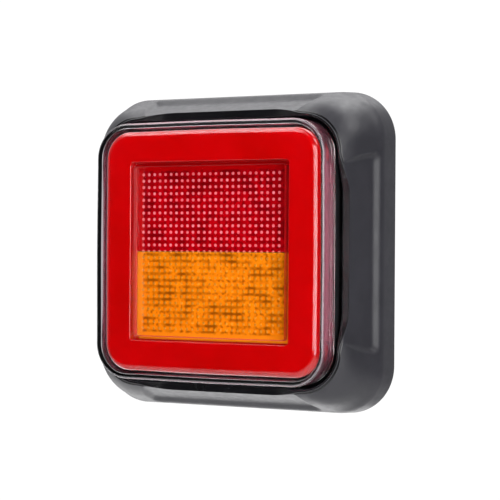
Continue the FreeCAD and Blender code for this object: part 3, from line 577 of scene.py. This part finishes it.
# The openings through the floor, and the posts that the insert rests on.
SCREW_HOLES = next(mount["dims"] for mount in frame["record"]["mounts"] if mount["name"] == "screw_holes")
SCREW_OFFSET = SCREW_HOLES["spacing_x_mm"] / 2
SCREW_RADIUS = SCREW_HOLES["hole_r_mm"]
WIRING_HALF_X = 22.0
WIRING_HALF_Z = 17.0
WIRING_CORNER = 6.0
WIRING_POINTS = 10
HOLE_CHAMFER = 0.4
POST_RADIUS = 3.5
POST_OFFSET = 38.0
POST_TOP = 8.0
POST_EDGE = 0.4
POST_POINTS = 32

# How finely the bracket is divided. Rows lie closer together from the flange's bend to the panels' rear.
SIDE_POINTS = 200
CORNER_POINTS = 36
FOOT_STEPS = 4
LIP_STEPS = 6
NECK_STEPS = 4
CAVITY_STEPS = 12
ROW_HEIGHT = 0.5
FINE_ROW_HEIGHT = 0.2
FINE_ROWS_FROM = FLANGE_DEPTH - 1.0
FINE_ROWS_TO = PANEL_REAR_DEPTH + 1.5

# The bracket's second material, polished and darker, is for the lip's faces that lie in front of this depth
# and face forwards, to this cosine. Its darker colour is painted shade on these faces.
SHADED_RIM_MATERIAL = 1
RIM_DEPTH = 24.8
RIM_FACING = 0.85

# A skin point starts to belong to a second side at this share of its distance out on the nearest side.
SIDE_SHARE = 0.75


def flare_half(depth):
    """Half width of the outer skin at a depth: drafted flange, soft bend, then the flare in to the lip."""
    flange = mix(BRACKET_HALF, FLANGE_HALF, depth / FLANGE_DEPTH)
    share = (depth - FLANGE_DEPTH) / (LIP_DEPTH - FLANGE_DEPTH)
    flare = mix(FLANGE_HALF, LIP_HALF, share) + FLARE_BULGE * BULGE_SCALE * share * share * (1 - share)
    return soft_min(flange, flare, FLARE_SOFTNESS)


def flare_corner(depth):
    """Corner radius of the outer skin at a depth."""
    if depth < FLANGE_DEPTH:
        return mix(BRACKET_CORNER, FLANGE_CORNER, depth / FLANGE_DEPTH)
    return mix(FLANGE_CORNER, LIP_CORNER, clamp((depth - FLANGE_DEPTH) / (LIP_DEPTH - FLANGE_DEPTH)))


def lip_at(along):
    """Depth of the lip at a place along one side: lower in the notch."""
    run = (abs(along) - NOTCH_FLOOR_HALF) / (NOTCH_MOUTH_HALF - NOTCH_FLOOR_HALF)
    slanted = mix(NOTCH_DEPTH, LIP_DEPTH, run)
    return soft_min(soft_max(slanted, NOTCH_DEPTH, NOTCH_SOFTNESS), LIP_DEPTH, NOTCH_SOFTNESS)


def notched(x, z, depth):
    """Pull a point's depth back so that the lip follows the notches."""
    if depth <= NOTCH_ANCHOR:
        return depth
    share = (depth - NOTCH_ANCHOR) / (LIP_DEPTH - NOTCH_ANCHOR)
    return mix(NOTCH_ANCHOR, lip_at(min(abs(x), abs(z))), share)


def widened(x, z, shift):
    """Move a skin point outwards from the middle by this much on the sides it belongs to."""
    out = max(abs(x), abs(z))
    share_x = smooth_step(SIDE_SHARE, 1.0, abs(x) / out)
    share_z = smooth_step(SIDE_SHARE, 1.0, abs(z) / out)
    return x + math.copysign(shift * share_x, x), z + math.copysign(shift * share_z, z)


def panel_half(along, depth):
    """How far out the recessed panel is: its floor, the leaning wall at its rear and its two ends."""
    ahead = depth - PANEL_REAR_DEPTH
    floor = PANEL_REAR_HALF - PANEL_TILT * ahead
    end = mix(PANEL_END_AT_REAR, PANEL_END_AT_LIP, clamp(ahead / (LIP_DEPTH - PANEL_REAR_DEPTH)))
    rear_wall = PANEL_REAR_HALF - PANEL_STEP_SLOPE * ahead
    end_wall = floor + PANEL_END_SLOPE * (abs(along) - end)
    return soft_max(floor, soft_max(rear_wall, end_wall, PANEL_CORNER_SOFTNESS), PANEL_SOFTNESS)


def pressed_in(x, z, depth):
    """Move a point of the outer skin inwards where a panel is."""
    for side in range(4):
        out, along = seen_from(x, z, side)
        out = soft_min(out, panel_half(along, depth), PANEL_SOFTNESS)
        x, z = turned(out, along, side)
    return x, z


def skin_rows():
    """Rows of the outer skin from the foot to the lip, each a half width, a corner radius and a depth."""
    rows = []
    for angle in quarter_turn(FOOT_STEPS):
        inset = FOOT_ROUND * (1 - math.sin(angle))
        depth = FOOT_ROUND * (1 - math.cos(angle))
        rows.append((flare_half(depth) - inset, BRACKET_CORNER - inset, depth))
    depth = FOOT_ROUND
    while depth < LIP_DEPTH - LIP_ROUND:
        height = FINE_ROW_HEIGHT if FINE_ROWS_FROM < depth < FINE_ROWS_TO else ROW_HEIGHT
        depth = min(depth + height, LIP_DEPTH - LIP_ROUND)
        rows.append((flare_half(depth), flare_corner(depth), depth))
    for angle in quarter_turn(LIP_STEPS)[1:]:
        inset = LIP_ROUND * (1 - math.cos(angle))
        depth = LIP_DEPTH - LIP_ROUND * (1 - math.sin(angle))
        rows.append((flare_half(LIP_DEPTH) - inset, LIP_CORNER - inset, depth))
    return rows


def cavity_rows():
    """Rows of the cavity from the lip to the floor, each a half width, a corner radius and a depth."""
    rows = []
    for angle in quarter_turn(LIP_STEPS):
        inset = LIP_ROUND * (1 - math.sin(angle))
        depth = LIP_DEPTH - LIP_ROUND * (1 - math.cos(angle))
        rows.append((CAVITY_HALF + inset, CAVITY_CORNER + inset, depth))
    for step in range(1, NECK_STEPS + 1):
        depth = mix(LIP_DEPTH - LIP_ROUND, CAVITY_NECK, step / NECK_STEPS)
        rows.append((CAVITY_HALF, CAVITY_CORNER, depth))
    for step in range(1, CAVITY_STEPS + 1):
        share = step / CAVITY_STEPS
        half = mix(CAVITY_HALF, CAVITY_BASE_HALF, share)
        corner = mix(CAVITY_CORNER, CAVITY_BASE_CORNER, share)
        rows.append((half, corner, mix(CAVITY_NECK, FLANGE_DEPTH, share)))
    for inset, rise in CAVITY_FOOT:
        rows.append((CAVITY_BASE_HALF - inset, CAVITY_BASE_CORNER - inset, FLOOR_THICKNESS + rise))
    return rows


def skin_ring(bm, half, corner, depth):
    """A ring of the outer skin, bent to the notches and pressed in to the panels."""
    ring = []
    for x, z in square_outline(half, half, corner, SIDE_POINTS, CORNER_POINTS):
        real_depth = notched(x, z, depth)
        x, z = widened(x, z, flare_half(real_depth) - flare_half(depth))
        x, z = pressed_in(x, z, real_depth)
        ring.append(bm.verts.new(to_world(x, real_depth, z)))
    return ring


def cavity_ring(bm, half, corner, depth):
    """A ring of the cavity's wall, bent to the notches."""
    outline = square_outline(half, half, corner, SIDE_POINTS, CORNER_POINTS)
    return [bm.verts.new(to_world(x, notched(x, z, depth), z)) for x, z in outline]


def wiring_outline(grow):
    """The wiring opening's outline, grown by this much all round."""
    return square_outline(
        WIRING_HALF_X + grow, WIRING_HALF_Z + grow, WIRING_CORNER + grow, WIRING_POINTS, WIRING_POINTS)


def floor_openings():
    """Each opening through the floor, as the outline of its wall and that of its chamfered mouths."""
    openings = [(wiring_outline(0), wiring_outline(HOLE_CHAMFER))]
    for x, z in four_corners(SCREW_OFFSET):
        wall = circle_outline(SCREW_RADIUS, x, z)
        mouth = circle_outline(SCREW_RADIUS + HOLE_CHAMFER, x, z)
        openings.append((wall, mouth))
    return openings


def through_hole(bm, wall, mouth):
    """The wall of an opening through the floor, with a chamfer at each end. Returns its end rings."""
    rings = [
        add_ring(bm, mouth, 0.0),
        add_ring(bm, wall, HOLE_CHAMFER),
        add_ring(bm, wall, FLOOR_THICKNESS - HOLE_CHAMFER),
        add_ring(bm, mouth, FLOOR_THICKNESS),
    ]
    bridge_all(bm, rings)
    return rings[0], rings[-1]


def make_post(bm, x, z):
    """A round post on the floor that the insert rests on. Returns the ring at its foot."""
    levels = (
        (POST_RADIUS + POST_EDGE, FLOOR_THICKNESS),
        (POST_RADIUS, FLOOR_THICKNESS + POST_EDGE),
        (POST_RADIUS, POST_TOP - POST_EDGE),
        (POST_RADIUS - POST_EDGE, POST_TOP),
    )
    rings = [add_ring(bm, circle_outline(radius, x, z, POST_POINTS), depth) for radius, depth in levels]
    bridge_all(bm, rings)
    bm.faces.new(rings[-1])
    return rings[0]


def make_bracket():
    """The moulded surround, with its recessed panels, notched lip, wiring opening, screw holes and posts."""
    bm = bmesh.new()
    rings = [skin_ring(bm, *row) for row in skin_rows()] + [cavity_ring(bm, *row) for row in cavity_rows()]
    bridge_all(bm, rings)
    rear_rings = [rings[0]]
    front_rings = [rings[-1]]
    for wall, mouth in floor_openings():
        rear, front = through_hole(bm, wall, mouth)
        rear_rings.append(rear)
        front_rings.append(front)
    for x, z in four_corners(POST_OFFSET):
        front_rings.append(make_post(bm, x, z))
    fill_flat(bm, rear_rings)
    fill_flat(bm, front_rings)
    bm.normal_update()
    # The lip's front faces get painted shade, the darker rim material.
    for face in bm.faces:
        if face.normal.y < -RIM_FACING and -face.calc_center_median().y > RIM_DEPTH * MM:
            face.material_index = SHADED_RIM_MATERIAL
    mesh = finish_mesh(bm, "surround_bracket")
    new_piece(mesh, [bracket_black, rim_painted_shade], "bracket", ["mounting_bracket"])


# ---- Lens cap ------------------------------------------------------------------------------------

LENS_HALF = 50.0
LENS_CORNER = 13.7
LENS_BOW = 0.2
LENS_FRONT = front_of("outer_lens")
LENS_REAR = rear_of("outer_lens")
LENS_PLATE = 1.6
LENS_PLATE_REAR = LENS_FRONT - LENS_PLATE
LENS_WALL = 1.9
LENS_ROUND = 1.3
LENS_ROUND_STEPS = 8
LENS_INNER_ROUND = 0.12
LENS_INNER_STEPS = 6
LENS_FACE_INSET = 8.0
LENS_INNER_FACE_INSET = 10.0
LENS_SIDE_POINTS = 360
LENS_CORNER_POINTS = 40

# The optic pad behind the middle of the lens, and the dots on it.
OPTIC_HALF = 33.0
OPTIC_CORNER = 1.2
OPTIC_THICKNESS = 3.3
OPTIC_CHAMFER = 0.3
OPTIC_REAR = LENS_PLATE_REAR - OPTIC_THICKNESS
OPTIC_SIDE_POINTS = 40
OPTIC_CORNER_POINTS = 10
DOTS_PER_ROW = 25
DOT_RADIUS = 0.60
DOT_HEIGHT = 0.3
DOT_GAP = 0.02
DOT_LEVELS = (0.0, 0.45, 0.8)
DOT_POINTS = 14
DOT_SHARP_DEGREES = 60

# The ribs across the inside of the side walls, which stop short of the corners and of the front plate.
RIB_PITCH = 0.8
RIB_RISE = 0.15
RIB_SPAN = 35.2
RIB_FADE = 2.5
RIB_START = 1.0

# The cap's materials, in their order, and the bands of its outside that get the edge's painted highlight,
# counted from the rear: they lie in the middle of its rounded edge.
LENS_CLEAR, LENS_FLANK, LENS_RIBBED, LENS_EDGE_HIGHLIGHT = range(4)
HIGHLIGHT_BANDS = (4, 5, 6)


def rib_relief(along):
    """How far the ribs stand in from the wall at a place along one side."""
    fade = 1 - smooth_step(RIB_SPAN - RIB_FADE, RIB_SPAN, abs(along))
    return RIB_RISE * fade * (0.5 + 0.5 * math.cos(2 * math.pi * along / RIB_PITCH))


def lens_outline(inset):
    """The cap's bowed outline, this far in from its outside."""
    half = LENS_HALF - inset
    return square_outline(half, half, LENS_CORNER - inset, LENS_SIDE_POINTS, LENS_CORNER_POINTS, LENS_BOW)


def ribbed_outline():
    """The outline of the cap's inside wall, with its ribs."""
    outline = []
    for index, (x, z) in enumerate(lens_outline(LENS_WALL)):
        side = index // (LENS_SIDE_POINTS + LENS_CORNER_POINTS)
        out, along = seen_from(x, z, side)
        outline.append(turned(out - rib_relief(along), along, side))
    return outline


def optic_outline(inset):
    """The optic pad's outline, this far in from its flank."""
    half = OPTIC_HALF - inset
    return square_outline(half, half, OPTIC_CORNER - inset, OPTIC_SIDE_POINTS, OPTIC_CORNER_POINTS)


def make_lens():
    """The clear cap in one skin: outside wall, front, inside wall with its ribs, and optic pad."""
    bm = bmesh.new()
    outside = rounded_profile([
        (0.0, LENS_REAR, 0),
        (0.0, LENS_FRONT, LENS_ROUND),
        (LENS_FACE_INSET, LENS_FRONT, 0)], LENS_ROUND_STEPS)
    outer = [add_ring(bm, lens_outline(inset), depth) for inset, depth in outside]
    for index, (first, second) in enumerate(zip(outer, outer[1:])):
        bridge(bm, first, second, LENS_EDGE_HIGHLIGHT if index in HIGHLIGHT_BANDS else LENS_CLEAR)
    bm.faces.new(outer[-1])
    inside = rounded_profile([
        (LENS_INNER_FACE_INSET, LENS_PLATE_REAR, 0),
        (LENS_WALL, LENS_PLATE_REAR, LENS_INNER_ROUND),
        (LENS_WALL, LENS_REAR, 0)], LENS_INNER_STEPS)
    inner = [add_ring(bm, lens_outline(inset), depth) for inset, depth in inside[:-1]]
    ribbed = [add_ring(bm, ribbed_outline(), depth) for depth in (LENS_PLATE_REAR - RIB_START, LENS_REAR)]
    bridge_all(bm, inner + ribbed[:1])
    bridge_all(bm, ribbed, LENS_RIBBED)
    bridge(bm, ribbed[-1], outer[0])
    levels = (
        (0.0, LENS_PLATE_REAR),
        (0.0, OPTIC_REAR + OPTIC_CHAMFER),
        (OPTIC_CHAMFER, OPTIC_REAR),
    )
    pad = [add_ring(bm, optic_outline(inset), depth) for inset, depth in levels]
    bridge_all(bm, pad, LENS_FLANK)
    bm.faces.new(pad[-1])
    fill_flat(bm, [inner[0], pad[0]])
    mesh = finish_mesh(bm, "lens_cover")
    materials = [clear_lens, pad_flank, ribbed_wall, lens_edge]
    new_piece(mesh, materials, "lamp_insert", ["outer_lens"])


def make_dots():
    """The square grid of small domes moulded on the back of the lens, with a tiny gap behind the pad."""
    bm = bmesh.new()
    first = -(DOTS_PER_ROW - 1) / 2 * DOT_PITCH
    places = [first + index * DOT_PITCH for index in range(DOTS_PER_ROW)]
    for z in places:
        for x in places:
            rings = []
            for level in DOT_LEVELS:
                outline = circle_outline(DOT_RADIUS * math.sqrt(1 - level * level), x, z, DOT_POINTS)
                rings.append(add_ring(bm, outline, OPTIC_REAR - DOT_GAP - DOT_HEIGHT * level))
            bridge_all(bm, rings)
            bm.faces.new(rings[0])
            bm.faces.new(rings[-1])
    mesh = finish_mesh(bm, "lens_dots", DOT_SHARP_DEGREES)
    new_piece(mesh, [lens_dots], "lamp_insert")


# ---- Red frame -----------------------------------------------------------------------------------

# The ring's outside: a wall with the lens's bow, a rounded edge and a flat face.
GLOW_HALF = half_size("glow_frame")
GLOW_CORNER = 10.6
GLOW_FRONT = front_of("glow_frame")
GLOW_REAR = rear_of("glow_frame")
GLOW_ROUND = 2.8
GLOW_ROUND_STEPS = 12
GLOW_PLATE = 1.8
GLOW_PLATE_REAR = GLOW_FRONT - GLOW_PLATE
GLOW_WALL = 1.3
GLOW_FACE_INSET = 5.0
GLOW_SIDE_POINTS = 60
GLOW_CORNER_POINTS = 28

# The recess in its middle: a wall down to a small step, then on to just in front of the windows.
RECESS_HALF = 34.5
RECESS_CORNER = 1.2
RECESS_WALL = 1.4
RECESS_ROUND = 0.4
RECESS_FACE_OUTSET = 3.0
RECESS_ROUND_STEPS = 6
RECESS_STEP_DEPTH = 33.2
RECESS_STEP_WIDTH = 0.5
RECESS_STEP_ROUND = 0.25
RECESS_FOOT_ROUND = 0.15
WINDOW_GAP = 0.05
RECESS_REAR = front_of("stop_window") + WINDOW_GAP


def glow_outline(inset):
    """The ring's bowed outline, this far in from its outside."""
    half = GLOW_HALF - inset
    return square_outline(half, half, GLOW_CORNER - inset, GLOW_SIDE_POINTS, GLOW_CORNER_POINTS, LENS_BOW)


def recess_outline(outset):
    """The recess's outline, this far out from its wall."""
    half = RECESS_HALF + outset
    return square_outline(half, half, RECESS_CORNER + outset, GLOW_SIDE_POINTS, GLOW_CORNER_POINTS)


def make_red_frame():
    """The red ring: rounded outer edge, flat face, and the stepped wall down to the windows."""
    bm = bmesh.new()
    outer = rounded_profile([
        (0.0, GLOW_REAR, 0),
        (0.0, GLOW_FRONT, GLOW_ROUND),
        (GLOW_FACE_INSET, GLOW_FRONT, 0)], GLOW_ROUND_STEPS)
    recess = rounded_profile([
        (RECESS_FACE_OUTSET, GLOW_FRONT, 0),
        (0.0, GLOW_FRONT, RECESS_ROUND),
        (0.0, RECESS_STEP_DEPTH, RECESS_FOOT_ROUND),
        (-RECESS_STEP_WIDTH, RECESS_STEP_DEPTH, RECESS_STEP_ROUND),
        (-RECESS_STEP_WIDTH, RECESS_REAR, 0)], RECESS_ROUND_STEPS)
    recess += [(RECESS_WALL, RECESS_REAR), (RECESS_WALL, GLOW_PLATE_REAR)]
    rings = [add_ring(bm, glow_outline(inset), depth) for inset, depth in outer]
    rings += [add_ring(bm, recess_outline(outset), depth) for outset, depth in recess]
    rings += [add_ring(bm, glow_outline(GLOW_WALL), depth) for depth in (GLOW_PLATE_REAR, GLOW_REAR)]
    bridge_all(bm, rings)
    bridge(bm, rings[-1], rings[0])
    mesh = finish_mesh(bm, "red_frame")
    new_piece(mesh, [frame_red], "lamp_insert", ["glow_frame"])


# ---- Finishes of the CAD nodes that stay ---------------------------------------------------------

CAD_FINISHES = {
    "latch_tongues": latch_black,
    "lens_seal": weld_black,
    "lamp_housing": housing_black,
    "light_guide": milky_plastic,
    "light_well": white_plastic,
    "stop_window": stop_red,
    "turn_window": turn_amber,
    "stop_reflector": reflector_metal,
    "turn_reflector": reflector_metal,
    "light_divider": wall_black,
    "circuit_board": board_white,
    "stop_leds": led_red,
    "turn_leds": led_amber,
    "tail_leds": led_red,
    "driver_chips": chip_black,
    "resistors": resistor_black,
    "ceramic_capacitors": ceramic_tan,
    "diodes": chip_black,
    "surge_suppressor": chip_black,
    "smoothing_capacitors": aluminium,
    "wire_terminals": brass,
    "board_screws": zinc_steel,
    "cable_grommet": rubber_black,
    "breather_vent": vent_white,
}


def finish_cad_nodes():
    """Give each CAD node that stays its finished material."""
    for node, material in CAD_FINISHES.items():
        for slot in frame["nodes"][node].material_slots:
            slot.material = material


# ---- Stage, lights and camera --------------------------------------------------------------------

# Angles are degrees, and from here on lengths are metres, except the camera's lens and sensor.
# Azimuth 0 is straight in front of the lamp and 90 is to its right.
CAMERA_AZIMUTH = 28.3
CAMERA_ELEVATION = 0.2
CAMERA_ROLL = 0.35
CAMERA_DISTANCE = 0.655
CAMERA_LENS_MM = 118.0
CAMERA_SENSOR_MM = 36.0
CAMERA_SHIFT_X = -0.0052
CAMERA_SHIFT_Y = 0.0036
CAMERA_NEAR = 0.01

# Name, azimuth, elevation, distance, width, height, and power in watts. None stands near azimuth -28 at the
# camera's height, where the flat lens would mirror it to the camera.
SOFTBOXES = (
    ("Front", 25, 9, 1.1, 0.45, 0.6, 3.6),
    ("FrontRight", 50, 5, 1.1, 0.5, 0.9, 7.8),
    ("FrontTopLeft", -45, 58, 1.1, 0.9, 0.7, 7.5),
    ("TopBack", -155, 56, 1.0, 1.2, 0.8, 5.5),
    ("TopRight", 145, 66, 1.0, 0.6, 0.4, 3),
    ("RightTop", 92, 44, 1.0, 0.35, 0.35, 2.4),
    ("LowerBackLeft", -138, -42, 0.6, 0.7, 0.4, 1.4),
)

# The room's light grows from dim to bright towards its bright side, behind the lamp and to its left.
ROOM_BRIGHT_SIDE = (-0.55, 0.83, 0.1)
ROOM_FADE_START = -0.4
ROOM_FADE_END = 1.0
ROOM_DIM = 0.005
ROOM_BRIGHT = 0.6
ROOM_TINT = (0.97, 0.97, 1.0)
BACKDROP_STRENGTH = 1.05

FLOOR_DROP = 0.45
FLOOR_RADIUS = 1.7
FLOOR_FADE = 0.9
FLOOR_POINTS = 96


def direction_to(azimuth, elevation):
    """The unit vector from the lamp towards this azimuth and elevation, given in radians."""
    level = math.cos(elevation)
    return Vector((math.sin(azimuth) * level, -math.cos(azimuth) * level, math.sin(elevation)))


def make_camera():
    """A long lens to the right of the lamp and level with it."""
    azimuth = math.radians(CAMERA_AZIMUTH)
    roll = math.radians(CAMERA_ROLL)
    back = direction_to(azimuth, math.radians(CAMERA_ELEVATION))
    right = Vector((math.cos(azimuth), math.sin(azimuth), 0))
    up = back.cross(right)
    rolled_right = right * math.cos(roll) + up * math.sin(roll)
    rolled_up = up * math.cos(roll) - right * math.sin(roll)
    data = bpy.data.cameras.new("Camera")
    data.lens = CAMERA_LENS_MM
    data.sensor_width = CAMERA_SENSOR_MM
    data.shift_x = CAMERA_SHIFT_X
    data.shift_y = CAMERA_SHIFT_Y
    data.clip_start = CAMERA_NEAR
    camera = bpy.data.objects.new("Camera", data)
    turn = Matrix((rolled_right, rolled_up, back)).transposed().to_4x4()
    camera.matrix_world = Matrix.Translation(back * CAMERA_DISTANCE) @ turn
    bpy.context.scene.collection.objects.link(camera)
    bpy.context.scene.camera = camera


def softbox(name, azimuth, elevation, distance, width, height, power):
    """A rectangular lamp aimed at the object, which the camera doesn't see."""
    back = direction_to(math.radians(azimuth), math.radians(elevation))
    data = bpy.data.lights.new(name, "AREA")
    data.shape = "RECTANGLE"
    data.size = width
    data.size_y = height
    data.energy = power
    lamp = bpy.data.objects.new(name, data)
    lamp.location = back * distance
    lamp.rotation_euler = back.to_track_quat("Z", "Y").to_euler()
    lamp.visible_camera = False
    bpy.context.scene.collection.objects.link(lamp)


def make_lights():
    for box in SOFTBOXES:
        softbox(*box)


def make_world():
    """A white studio: the camera sees white, and the room's own light is dim in front and brighter behind."""
    world = bpy.data.worlds.new("Studio")
    nodes = Nodes(world, "ShaderNodeOutputWorld")
    sides = {0: nodes.place("Generated"), 1: ROOM_BRIGHT_SIDE}
    facing = nodes.add("ShaderNodeVectorMath", sides, operation="DOT_PRODUCT").outputs["Value"]
    level = nodes.ramp(facing, ROOM_DIM, ROOM_BRIGHT, ROOM_FADE_START, ROOM_FADE_END,
                       interpolation_type="SMOOTHSTEP")
    room = nodes.background(ROOM_TINT, level)
    backdrop = nodes.background((1, 1, 1), BACKDROP_STRENGTH)
    nodes.show(nodes.mixed(nodes.is_ray("Camera"), room, backdrop))
    bpy.context.scene.world = world


def floor_finish():
    """Pale matt paint that fades into the white towards the floor's rim."""
    nodes = new_material("PaleFloor")
    colour = nodes.blend(nodes.patches(400.0, 3.0), (0.84, 0.84, 0.84), (0.88, 0.88, 0.88))
    pale = nodes.principled(Base_Color=colour, Roughness=0.9)
    reach = nodes.add("ShaderNodeVectorMath", {0: nodes.place()}, operation="LENGTH").outputs["Value"]
    fade = nodes.ramp(reach, 0.0, 1.0, FLOOR_FADE, FLOOR_RADIUS)
    return nodes.show(nodes.mixed(fade, pale, nodes.transparent()))


def make_floor():
    """A pale round floor well below the lamp, which is held by its mounting face."""
    bm = bmesh.new()
    height = cad_low.z - FLOOR_DROP
    bm.faces.new([bm.verts.new((x, y, height)) for x, y in circle_outline(FLOOR_RADIUS, 0, 0, FLOOR_POINTS)])
    mesh = bpy.data.meshes.new("floor")
    bm.to_mesh(mesh)
    bm.free()
    mesh.materials.append(floor_finish())
    floor = bpy.data.objects.new("floor", mesh)
    bpy.context.scene.collection.objects.link(floor)


make_bracket()
make_lens()
make_dots()
make_red_frame()
finish_cad_nodes()
make_floor()
make_world()
make_lights()
make_camera()
bpy.context.scene.view_settings.view_transform = "Standard"
